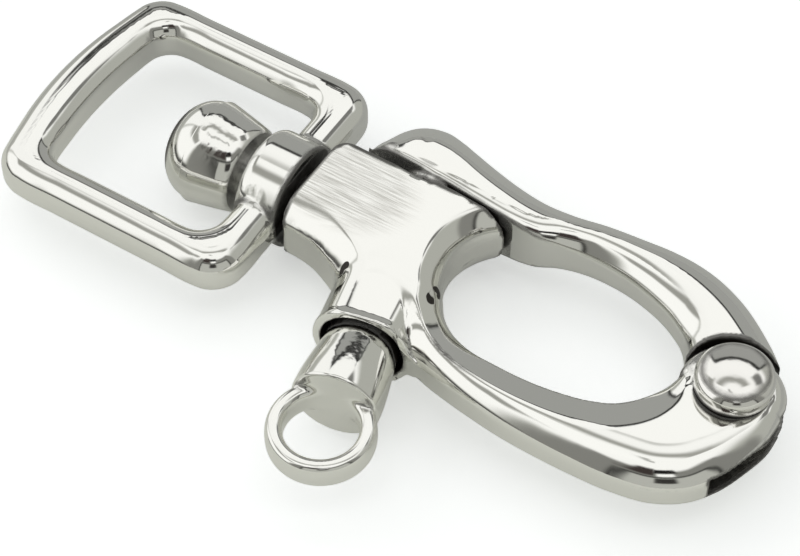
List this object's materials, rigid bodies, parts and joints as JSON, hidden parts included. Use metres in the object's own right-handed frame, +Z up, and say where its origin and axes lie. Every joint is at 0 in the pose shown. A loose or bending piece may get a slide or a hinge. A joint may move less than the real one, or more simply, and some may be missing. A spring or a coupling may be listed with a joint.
{
  "type": "swivel snap shackle",
  "caption": "Swivel snap shackle: square swivelling eye for webbing, hinged side gate and a spring plunger with a pull eye.",
  "frame": {"origin": "on the swivel axis, at the flat end of the body that faces the swivelling eye, at the middle of the thickness", "axes": "+X along the swivel axis towards the gate hinge, +Y towards the gate and away from the plunger knob, +Z up, square to the flat of the body"},
  "size_m": [0.1083, 0.0556, 0.0149],
  "materials": {
    "polished_plate": "mirror polished nickel plate over a casting",
    "turned_plate": "bright plate over a slightly rippled turned surface",
    "rivet_plate": "bright plate on a domed rivet head",
    "plunger_steel": "bright plated steel pin",
    "spring_steel": "drawn spring wire"
  },
  "bodies": {
    "shackle_body": {"body": "polished_plate", "swivel_pin": "turned_plate", "hinge_rivet": "rivet_plate", "plunger_spring": "spring_steel"},
    "swivel_eye": {"swivel_frame": "polished_plate"},
    "gate": {"gate": "polished_plate"},
    "plunger": {"plunger_pin": "plunger_steel"},
    "knob": {"plunger_knob": "turned_plate"}
  },
  "joints": [
    {"name": "swivel", "type": "hinge", "parent": "shackle_body", "child": "swivel_eye", "pos_m": [0, 0, 0], "axis": [1, 0, 0], "continuous": true},
    {"name": "gate_hinge", "type": "hinge", "parent": "shackle_body", "child": "gate", "pos_m": [0.0613, 0.0004, 0], "axis": [0, 0, -1], "range_deg": [0, 85]},
    {"name": "plunger_slide", "type": "slide", "parent": "shackle_body", "child": "plunger", "axis": [0.2079, -0.9781, 0], "range_m": [0, 0.0045], "stiffness_N_per_m": 700, "springref_m": -0.0043, "deforming": ["plunger_spring"]},
    {"name": "knob_turn", "type": "hinge", "parent": "plunger", "child": "knob", "pos_m": [0.0185, -0.0165, 0], "axis": [0.2079, -0.9781, 0], "continuous": true}
  ]
}
